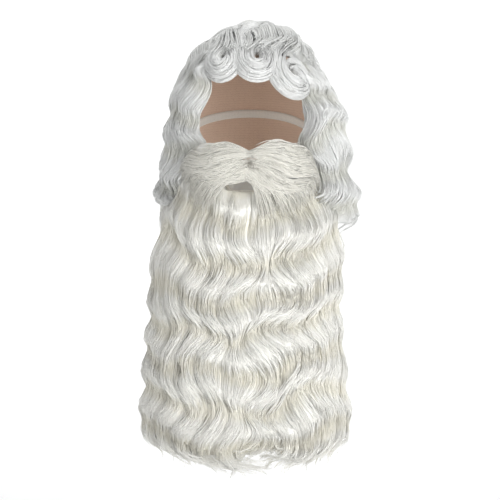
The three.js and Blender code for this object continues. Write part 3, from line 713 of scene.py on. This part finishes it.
# clumps, strands in each, and width of the strands that close a side with no neighbour
EDGE_CLUMPS, EDGE_EACH, EDGE_WIDTH = 10, 5, 1.3
OPEN_SIDES = {"side_hair_left": "right", "side_hair_right": "left",
              "beard_side_left": "left", "beard_side_right": "right"}
for seed, (name, rows, per_lock, clumps, each, segments) in enumerate(LAYERS):
    rng = np.random.default_rng(100 + seed)
    beard = name.startswith("beard")
    form, locks = (BEARD_FORM, BEARD_LOCKS) if beard else (WIG_FORM, WIG_LOCKS)
    open_side = OPEN_SIDES.get(name)
    layers = [hair_body(rng, form, locks, name, rows, per_lock, open_side),
              hair_strands(rng, form, locks, name, clumps, each, segments, STRAND_WIDTH)]
    if name != "back_hair":
        layers.append(hair_strands(rng, form, locks, name, *TIP_STRANDS, start=(0.66, 0.82),
                                   stop=(0.97, 1.015), depth=(-0.4, 1.5)))
    if open_side:
        layers.append(hair_strands(
            rng, form, locks, name, EDGE_CLUMPS, EDGE_EACH, segments, EDGE_WIDTH, (0.0, 0.05),
            (0.86, 1.0), (1.0, 22.0), 0.1, 0.02, 0.0 if open_side == "left" else 1.0))
    made = make_object(f"{name}_strands", "root", *join(layers))
    slot = "beard_hair" if beard else "wig_hair"
    finish_piece(made, name, MATERIALS[slot])


# The crown
CROWN_TILT = (-12, 10)
CROWN_RIDGES, CROWN_LEAN = 10, 9
CROWN_CUT_Y = (-300, -67.9, 0, 58.2, 300)
CROWN_CUT_Z = (-22, -30.8, -42.75, -54.7, -58)
CROWN_ROWS, CROWN_COLUMNS, CROWN_STRANDS, CROWN_SEGMENTS = 41, 211, 600, 24
# most of a strand lies on the crown, the rest hangs from its edge
ON_CROWN = 0.72


def crown_surface(turn, polar, depth):
    """Points of the hair over the top: turn round the whorl, polar down from it, in radians."""
    tilt_x, tilt_y = np.radians(CROWN_TILT)
    ridge = 0.24 * CROWN_LOFT * np.sin(polar)
    twist = 0.9 * np.sin(3.2 * polar)
    bump = 1 + ridge * np.cos(CROWN_RIDGES * turn + twist) / HEAD_WIDTH
    x, y, z = np.sin(polar) * np.sin(turn), -np.sin(polar) * np.cos(turn), np.cos(polar)
    y, z = y * math.cos(tilt_x) - z * math.sin(tilt_x), y * math.sin(tilt_x) + z * math.cos(tilt_x)
    x, z = x * math.cos(tilt_y) + z * math.sin(tilt_y), -x * math.sin(tilt_y) + z * math.cos(tilt_y)
    side = HEAD_WIDTH / 2 + SIDE_LOFT * lerp(0.26, 0.34, smoothstep(x, -0.2, 0.2)) - depth
    deep, high = HEAD_LENGTH / 2 + BACK_LOFT - depth, CROWN_HEIGHT + CROWN_LOFT - depth
    points = np.stack((x * bump * side, y * bump * deep, z * bump * high - CROWN_HEIGHT), axis=-1)
    lean = CROWN_LEAN * smoothstep(points[..., 2], -34, CROWN_LOFT) * smoothstep(-depth, -7, -5)
    points[..., 0] += lean
    out = unit(np.stack((x / side, y / deep, z / high), axis=-1))
    return points, out


def crown_wave(turn, share):
    """The angle of the waves over the crown."""
    return math.pi * (2.9 * share + 0.45 * np.sin(2 * turn + 1) + 0.2 * np.sin(5 * turn))


def crown_edge(turn):
    """How far down the crown reaches at each turn, in radians from the whorl."""
    polar = np.radians(np.linspace(30, 110, 161))[:, None]
    points, _ = crown_surface(turn[None, :], polar + 0 * turn[None, :], 0)
    above = points[..., 2] > np.interp(points[..., 1], CROWN_CUT_Y, CROWN_CUT_Z)
    last = np.where(above.all(axis=0), len(polar) - 1, np.argmin(above, axis=0))
    return polar[last, 0]


def crown_body(rng):
    """The closed mass of hair over the top, combed into fine ridges."""
    turn = np.linspace(0, 2 * math.pi, CROWN_COLUMNS)[None, :]
    edge = crown_edge(turn[0])[None, :]
    # at the front it ends behind the curls, where the net shows
    edge = edge * lerp(1, 0.86, smoothstep(np.cos(turn), 0.6, 0.85))
    share = np.linspace(0.03, 1, CROWN_ROWS)[:, None]
    turn, share = np.broadcast_arrays(turn, share)
    fine = noise_line(rng, CROWN_COLUMNS - 1, 1)
    comb = np.append(fine, fine[0])[None, :] * smoothstep(share, 0.1, 0.5)
    front = smoothstep(np.cos(turn), 0.5, 0.85)
    tuck = lerp(9, 14, front) * smoothstep(share, lerp(0.8, 0.55, front), 1.0)
    lift = 1.6 * smoothstep(share, 0.15, 0.5) * np.cos(2 * crown_wave(turn, share))
    outer, _ = crown_surface(turn, share * edge, 1.0 - 0.3 * comb + tuck - lift)
    end = smoothstep(share, 0.8, 1.0)
    inner, _ = crown_surface(turn[INSIDE_GRID], (share * edge)[INSIDE_GRID],
                             (8.0 + (2.5 + 5 * front) * end)[INSIDE_GRID])
    uv = np.stack((turn * 1.6, share), axis=-1)
    tint = np.stack((0.1 + 0 * share, 0.5 - 0.2 * comb, share), axis=-1)
    return closed_sheet(outer, inner, uv, tint)


def crown_strands(rng):
    """Strands from the whorl over the crown. At the front they end on it, and round the rest
    their ends hang over its edge."""
    total = CROWN_STRANDS
    start_turn = rng.uniform(0, 2 * math.pi, total)
    start_turn = start_turn - 0.35 * np.sin(start_turn)
    t = np.linspace(0, 1, CROWN_SEGMENTS)[None, :]
    low = rng.uniform(0.02, 0.45, total)[:, None]
    front = smoothstep(np.cos(start_turn), 0.3, 0.75)[:, None]
    run_on = lerp(rng.uniform(8, 42, total)[:, None], 2, front)
    end = lerp(0.97, rng.uniform(0.6, 0.96, total)[:, None], front)
    share = low + (end - low) * np.clip(t / ON_CROWN, 0, 1)
    full = smoothstep(share, 0.1, 0.5)
    bend = 0.15 * full * np.sin(crown_wave(start_turn[:, None], share))
    turn = start_turn[:, None] + bend
    edge = crown_edge(turn.ravel()).reshape(turn.shape)
    lie = rng.uniform(-0.6, 0.9, total)[:, None] + 3 * (1 - smoothstep(t, 0, 0.08))
    lie = lie - 1.6 * full * np.cos(2 * crown_wave(turn, share))
    points, out = crown_surface(turn, share * edge, lie)
    last = np.argmax(t[0] >= ON_CROWN)
    edge_point, edge_out = points[:, last:last + 1], out[:, last:last + 1]
    past = np.clip((t - ON_CROWN) / (1 - ON_CROWN), 0, 1)
    azimuth = np.arctan2(edge_point[..., 0], -edge_point[..., 1] * HEAD_WIDTH / HEAD_LENGTH)
    drop = -edge_point[..., 2] + past * run_on
    sway = 0.05 * np.sin(start_turn * 9)[:, None] * past
    hung, hung_out = place_on(WIG_FORM, azimuth + sway, drop, -1.5)
    start_hung, _ = place_on(WIG_FORM, azimuth, -edge_point[..., 2], -1.5)
    slip = (edge_point - start_hung) * (1 - (1 - front) * smoothstep(past, 0, 0.7))[..., None]
    tip_in = hung_out * (2.5 * smoothstep(past, 0.75, 1))[..., None]
    hanging = (t > t[0, last])[..., None]
    points = np.where(hanging, hung + slip - tip_in, points)
    out = np.where(hanging, hung_out, out)
    radius = 0.62 * rng.uniform(0.7, 1.2, total)[:, None] * taper(t, 0.1, 0.75, 0.8)
    tone = rng.normal(0, 0.08, total)[:, None]
    tint = np.stack(np.broadcast_arrays(0.1, 0.5 + tone, share), axis=-1)
    return tubes(points, out, radius, 0.8, start_turn * 1.6, tint)


# Swept locks
LOCK_SIDES = 26
CURL_STRANDS, CURL_SEGMENTS = 156, 40
# on each lock of a wing of the moustache, and in the fan over all of them
WING_LOCK_STRANDS, WING_LOCK_SEGMENTS, FAN_STRANDS, FAN_SEGMENTS = 20, 24, 390, 21


def swept(rng, places, outs, width, thickness, fatness, strands, segments, guide=None):
    """A flat tapered lock along a path, with strands that follow it or a longer guide."""
    count = len(places)
    _, across, lift = path_frame(places, outs)
    share = np.linspace(0, 1, count)
    rounded = np.sqrt(np.clip(1 - (1 - share / 0.1).clip(0, 1) ** 2, 0.01, 1))
    rounded = rounded * np.sqrt(np.clip(1 - (1 - (1 - share) / 0.12).clip(0, 1) ** 2, 0.01, 1))
    wide, deep = width / 2 * fatness(share) * rounded, thickness / 2 * fatness(share) * rounded
    angle = np.linspace(0, 2 * math.pi, LOCK_SIDES + 1)[None, :]
    comb = noise_line(rng, LOCK_SIDES, 1)
    comb = np.append(comb, comb[0])[None, :]
    swell = 0.93 + 0.035 * comb
    rings = places[:, None] + across[:, None] * (wide[:, None] * np.cos(angle) * swell)[..., None] \
        + lift[:, None] * (deep[:, None] * np.sin(angle) * swell)[..., None]
    columns = LOCK_SIDES + 1
    faces = [grid_faces(count, columns, 0, True)]
    first = np.arange(1, LOCK_SIDES - 1)
    faces.append(np.stack((0 * first, first, first + 1), axis=-1))
    last = (count - 1) * columns
    faces.append(np.stack((last + 0 * first, last + first + 1, last + first), axis=-1))
    uv = np.stack(np.broadcast_arrays(angle / 3, share[:, None]), axis=-1).reshape(-1, 2)
    # painted shade: the sides of a lock are darker and yellower, as in a fold
    edge = np.abs(np.cos(angle)) ** 3
    tint = np.stack(np.broadcast_arrays(0.6 * edge, 0.5 - 0.2 * comb, share[:, None]), axis=-1)
    body = rings.reshape(-1, 3), faces, uv, tint.reshape(-1, 3)

    if guide is not None:
        places, outs = guide
        share = np.linspace(0, 1, len(places))
    along, across, lift = path_frame(places, outs)
    t = np.linspace(0, 1, segments)[None, :]
    low = rng.uniform(0, 0.15, strands)[:, None]
    high = rng.uniform(0.85, 1.03, strands)[:, None]
    at = low + (high - low) * t
    lean = rng.uniform(0, 2 * math.pi, strands)[:, None] + rng.normal(0, 0.35, strands)[:, None] * t
    lean = lean + 0.25 * np.sin(2 * math.pi * (1.3 * t + rng.uniform(0, 1, strands)[:, None]))
    reach = rng.uniform(0.9, 1.03, strands)[:, None]

    def along_path(values, where):
        return np.stack([np.interp(where, share, values[:, k]) for k in range(3)], axis=-1)

    centre = along_path(places, np.clip(at, 0, 1)) \
        + along_path(along, np.clip(at, 0, 1)) * (np.maximum(at - 1, 0) * 60)[..., None]
    wide_at, deep_at = width / 2 * fatness(at), thickness / 2 * fatness(at)
    points = centre + along_path(across, at) * (wide_at * reach * np.cos(lean))[..., None] \
        + along_path(lift, at) * (deep_at * reach * np.sin(lean))[..., None]
    outward = unit(points - centre + 1e-6)
    radius = 0.5 * rng.uniform(0.7, 1.25, strands)[:, None] * taper(t, 0.12, 0.75, 0.75)
    tone = rng.normal(0, 0.08, strands)[:, None]
    # painted shade: the strands are darker where they come from over the crown, as the crown's hair
    # is
    if guide is not None:
        tone = tone - 0.35 * (1 - smoothstep(at, 0.15, 0.5))
    # painted shade at the sides of the lock, as on its body
    tint = np.stack(np.broadcast_arrays(0.5 * np.abs(np.cos(lean)) ** 3, 0.5 + tone, at), axis=-1)
    return join((body, tubes(points, outward, radius, 0.8, lean[:, 0] / 3, tint)))


def fringe_curl(rng, azimuth, drop, size):
    """A curl on the forehead, with strands that come to it from over the crown."""
    radius = FRINGE_CURL_RADIUS * size
    centre = drop * HAIRLINE_DROP
    at = math.radians(azimuth)
    level = centre / WIG_FORM["drop"]
    reach = (HEAD_WIDTH / 2 + SIDE_LOFT * float(column(
        WIG_FORM, "left" if azimuth < 0 else "right", level))
        + HEAD_LENGTH / 2 + FRONT_LOFT * float(column(WIG_FORM, "front", level))) / 2

    def spiral(start, end, wide, tight, deep, sunk, count):
        share = np.linspace(0, 1, count)
        angle = np.radians(lerp(start, end, share))
        away = radius * lerp(wide, tight, share)
        inset = lerp(*deep, share) + sunk * (1 - smoothstep(share, 0, 0.35))
        return place_on(WIG_FORM, at + away * np.cos(angle) / reach,
                        centre - away * np.sin(angle), FRINGE_CURL_THICKNESS * inset)

    places, outs = spiral(120, 395, 1.15, 0.75, (0.5, 0.75), 0.1, 48)
    curl, curl_outs = spiral(72, 540, 1.55, 0.22, (0.34, 0.6), 0.45, 70)
    turns, polars = np.meshgrid(np.radians(np.linspace(-80, 80, 161)),
                                np.radians(np.linspace(20, 70, 101)))
    crown, _ = crown_surface(turns, polars, 0.3 * FRINGE_CURL_THICKNESS)
    nearest = np.unravel_index(np.argmin(np.linalg.norm(crown - curl[0], axis=-1)), turns.shape)
    down = np.linspace(0, 1, 26)[:-1]
    lead, lead_outs = crown_surface(turns[nearest] + 0.5 * (1 - down) ** 2,
                                    lerp(math.radians(20), polars[nearest], down),
                                    FRINGE_CURL_THICKNESS * lerp(0.85, 0.75, down))
    joined = np.concatenate((lead, curl))
    kernel = np.hanning(9)[1:-1] / np.hanning(9).sum()
    for _ in range(3):
        wide = np.concatenate((joined[:1].repeat(3, 0), joined, joined[-1:].repeat(3, 0)))
        joined = np.stack([np.convolve(wide[:, k], kernel, "valid") for k in range(3)], axis=-1)
    guide = joined, np.concatenate((lead_outs, curl_outs))

    def fatness(share):
        return lerp(0.7, 1, smoothstep(share, 0, 0.35)) * lerp(1, 0.3, smoothstep(share, 0.6, 1))

    return swept(rng, places, outs, FRINGE_CURL_WIDTH, 0.75 * FRINGE_CURL_THICKNESS, fatness,
                 CURL_STRANDS, CURL_SEGMENTS, guide)


# the strands that hang lower than the wing's locks, over the corner of the mouth
MOUSTACHE_DRAPE = {
    "left": ((1, 38, 0.92, 0.99, 1.07), (0, 24, 0.94, 1.02, 1.12)),
    "right": ((1, 25, 0.9, 1.05, 1.16), (0, 6, 0.9, 1.03, 1.18)),
}


def moustache_wing(rng, name, side):
    """The locks of a wing, under a fan of strands that spreads over all of them."""
    table = np.array(MOUSTACHE_LOCKS[name], float)
    fan = np.array(MOUSTACHE_LOCKS[name] + MOUSTACHE_DRAPE[name], float)

    def fatness(share):
        return lerp(0.55, 1, smoothstep(share, 0, 0.45)) * lerp(1, 0.45, smoothstep(share, 0.7, 1))

    def path(lock, share, inset):
        azimuth, reach, root, bow, tip = lock
        drop = LIP_DROP * (lerp(root, tip, share)
                           + (bow - (root + tip) / 2) * np.sin(math.pi * share))
        return place_on(BEARD_FORM, np.radians(side * lerp(azimuth, reach, share)), drop, inset)

    made = []
    for lock in table:
        places, outs = path(lock, np.linspace(0.02, 0.86, 36), -0.04 * MOUSTACHE_LOCK_THICKNESS)
        made.append(swept(rng, places, outs, MOUSTACHE_LOCK_WIDTH, MOUSTACHE_LOCK_THICKNESS,
                          fatness, WING_LOCK_STRANDS, WING_LOCK_SEGMENTS))
    total = FAN_STRANDS
    across = rng.uniform(-0.95, 4.1, total)
    low = np.clip(np.floor(across).astype(int), 0, len(fan) - 2)
    lock = lerp(fan[low], fan[low + 1], (across - low)[:, None]).T[:, :, None]
    lock[0] = lock[0] * 0.4 - 3.4 - 0.5 * side
    t = np.linspace(0, 1, FAN_SEGMENTS)[None, :]
    start, end = rng.uniform(0, 0.3, total)[:, None] ** 1.5, rng.uniform(0.8, 1.08, total)[:, None]
    share = start + (end - start) * t
    edge = 1 - 0.5 * np.clip(np.abs(across - 1) - 0.9, 0, 1)[:, None]
    proud = rng.uniform(-1.2, 0.9, total)[:, None] * smoothstep(t, 0, 0.2) + 2.5 * (1 - t)
    high = MOUSTACHE_LOCK_THICKNESS * (0.1 + 0.5 * fatness(share) * edge) + proud \
        - 3 * smoothstep(t, 0.8, 1)
    wave = (0.02 + rng.normal(0, 0.006, total)[:, None]) * np.sin(
        2 * math.pi * (1.3 * share + 0.12 * across[:, None] + rng.normal(0, 0.06, total)[:, None]))
    points, outs = path(lock, share, -high)
    points[..., 2] += LIP_DROP * wave - 6 * smoothstep(share, 0.75, 1.05)
    radius = 0.6 * rng.uniform(0.7, 1.2, total)[:, None] * taper(t, 0.12, 0.7, 0.75)
    tone = rng.normal(0, 0.07, total)[:, None]
    tint = np.stack(np.broadcast_arrays(0.65, 0.3 + tone, share), axis=-1)
    made.append(tubes(points, outs, radius, 0.7, across, tint))
    return join(made)


rng = np.random.default_rng(7)
crown = join((crown_body(rng), crown_strands(rng)))
# the hair over the top takes the darker crown_hair, painted shade over the top of the head
finish_piece(make_object("crown_strands", "root", *crown), "crown_hair",
             MATERIALS["crown_hair"])
for name, azimuth, drop, size_share in FRINGE_CURLS:
    made = make_object(f"{name}_strands", "root", *fringe_curl(rng, azimuth, drop, size_share))
    finish_piece(made, name, MATERIALS["wig_hair"])
for name, side in (("left", -1), ("right", 1)):
    made = make_object(f"moustache_{name}_strands", "root", *moustache_wing(rng, name, side))
    finish_piece(made, f"moustache_{name}", MATERIALS["moustache_hair"])


# Net, backing and elastic
def shell(azimuths, tops, bottoms, rows, low, high, closed, across, down):
    """A closed shell between two offsets of the head. tops and bottoms give each azimuth's span,
    closed says that it goes all the way round, across and down set the scale of its cloth."""
    columns = len(azimuths)
    share = np.linspace(0, 1, rows)[:, None]
    z = tops[None, :] + (bottoms - tops)[None, :] * share
    azimuth = np.broadcast_to(azimuths[None, :], z.shape)
    outer, inner = head_point(azimuth, z, high), head_point(azimuth, z, low)
    size = rows * columns
    points = np.concatenate((outer.reshape(-1, 3), inner.reshape(-1, 3)))
    faces = [grid_faces(rows, columns, 0, True), grid_faces(rows, columns, size)]
    lines = [(np.arange(columns), False), ((rows - 1) * columns + np.arange(columns), True)]
    if not closed:
        lines += [(np.arange(rows) * columns, True),
                  (np.arange(rows) * columns + columns - 1, False)]
    for line, flip in lines:
        wall = np.stack((line[:-1], line[1:], line[1:] + size, line[:-1] + size), axis=-1)
        faces.append(wall[:, ::-1] if flip else wall)
    if closed:  # the last column is the first one again
        faces = [np.where(f % columns == columns - 1, f - columns + 1, f) for f in faces]
    uv = np.stack((azimuth * across, z / -100 * down), axis=-1).reshape(-1, 2)
    tint = np.full((size * 2, 3), 0.5)
    return points, faces, np.concatenate((uv, uv)), tint


def span(azimuths, line_y, line_z, start, stop, offset):
    """The height at which the head meets a line drawn in side view, at each azimuth."""
    z = np.linspace(start, stop, 400)[:, None]
    points = head_point(azimuths[None, :] + 0 * z, z + 0 * azimuths[None, :], offset)
    past = z < np.interp(points[..., 1], line_y, line_z)
    index = np.where(past.any(axis=0), np.argmax(past, axis=0), len(z) - 1)
    return z[index, 0]


FACE, NAPE = -HEAD_LENGTH / 2, HEAD_LENGTH / 2
CAP_EDGE_Y = (-300, 0.9 * FACE, 0.66 * FACE, 0.46 * FACE, 0.34 * FACE, 0.2 * FACE, 0.05 * NAPE,
              0.33 * NAPE, 0.55 * NAPE, 300)
CAP_EDGE_Z = (-HAIRLINE_DROP, -HAIRLINE_DROP, -1.5 * HAIRLINE_DROP, -EAR_TAB_DROP, -EAR_TAB_DROP,
              -EAR_ARCH_DROP, -EAR_ARCH_DROP, -EAR_TAB_DROP, -NAPE_DROP, -NAPE_DROP)


around = np.linspace(0.5 * math.pi, 2.5 * math.pi, 109)
cap_bottom = span(around, CAP_EDGE_Y, CAP_EDGE_Z, -2, -170, CAP_OUTSIDE)
cap_top = np.full_like(around, CAP_OUTSIDE - 0.02)
cap = shell(around, cap_top, cap_bottom, 20, CLOTH_INSIDE, CAP_OUTSIDE, True, 48, 48)
cap_net = make_object("cap_net", "root", *cap)
finish_piece(cap_net, "wig_cap", MATERIALS["net"])

ELASTIC_FRONT = (0.3 * FACE, -EAR_TAB_DROP - 1.5 * ELASTIC_WIDTH)
ELASTIC_BACK = (NAPE, -0.9 * CROWN_HEIGHT)


def elastic_piece():
    """The band from behind one corner of the backing round the back of the head to the other."""
    along = np.radians(np.linspace(72, 288, 121))
    z = np.full_like(along, -100.0)
    for _ in range(6):
        y = head_point(along, z, 0.5)[:, 1]
        z = np.interp(y, (ELASTIC_FRONT[0], ELASTIC_BACK[0]), (ELASTIC_FRONT[1], ELASTIC_BACK[1]))
    half = ELASTIC_WIDTH / 2
    return shell(along, z + half, z - half, 4, 0.1, 0.95, False, 40, 60)


BACKING_TOP_Y = (-200, 0.95 * FACE, 0.7 * FACE, 0.42 * FACE, 300)
BACKING_CORNER = -EAR_TAB_DROP - CLOTH_INSIDE
BACKING_TOP_Z = (-LIP_DROP + 1.4 * MOUTH_HEIGHT, -LIP_DROP + 1.4 * MOUTH_HEIGHT, -0.8 * LIP_DROP,
                 BACKING_CORNER, BACKING_CORNER)
BACKING_LOW_Y = (-200, 0.5 * FACE, 0.08 * FACE)
BACKING_LOW_Z = (-CHIN_DROP + CLOTH_INSIDE, -CHIN_DROP + CLOTH_INSIDE, -LIP_DROP)
BACKING_ROWS, BACKING_COLUMNS = 37, 113


def backing_piece():
    """The cloth that carries the beard, from ear to ear and under the chin, open at the mouth."""
    along = np.radians(np.linspace(-84, 84, BACKING_COLUMNS))
    tops = span(along, BACKING_TOP_Y, BACKING_TOP_Z, -100, -200, BACKING_OUTSIDE)
    lows = span(along, BACKING_LOW_Y, BACKING_LOW_Z, -140, -CHIN_DROP, BACKING_OUTSIDE)
    points, faces, uv, tint = shell(along, tops, lows, BACKING_ROWS, CLOTH_INSIDE, BACKING_OUTSIDE,
                                    False, 60, 60)
    size = BACKING_ROWS * BACKING_COLUMNS
    # the slot: grid points next to its outline move onto it, and the cells inside it go
    x, z = points[:, 0], points[:, 2] + LIP_DROP
    half, run = MOUTH_HEIGHT / 2, (MOUTH_WIDTH - MOUTH_HEIGHT) / 2
    near = np.clip(x, -run, run)
    away = np.hypot(x - near, z)
    front = points[:, 1] < 0
    snap = front & (np.abs(away - half) < 1.5) & (away > 0.1)
    ratio = np.where(snap, half / np.maximum(away, 0.1), 1)
    points[:, 0] = near + (x - near) * ratio
    points[:, 2] = z * ratio - LIP_DROP
    outside, inside = faces[:2]
    middle = points[outside].mean(axis=1)
    cell = np.hypot(middle[:, 0] - np.clip(middle[:, 0], -run, run), middle[:, 2] + LIP_DROP)
    gone = (cell < half) & (middle[:, 1] < 0)
    edges = np.concatenate([np.stack((outside[gone][:, k], outside[gone][:, (k + 1) % 4]), -1)
                            for k in range(4)])
    seen = {(a, b) for a, b in edges.tolist()}
    rim = np.array([(b + size, a + size, a, b) for a, b in sorted(seen) if (b, a) not in seen])
    return points, [outside[~gone], inside[~gone], *faces[2:], rim], uv, tint


finish_piece(make_object("elastic_band", "root", *elastic_piece()), "beard_elastic",
             MATERIALS["elastic"])
backing_cloth = make_object("backing_cloth", "root", *backing_piece())
finish_piece(backing_cloth, "beard_backing", MATERIALS["backing"])
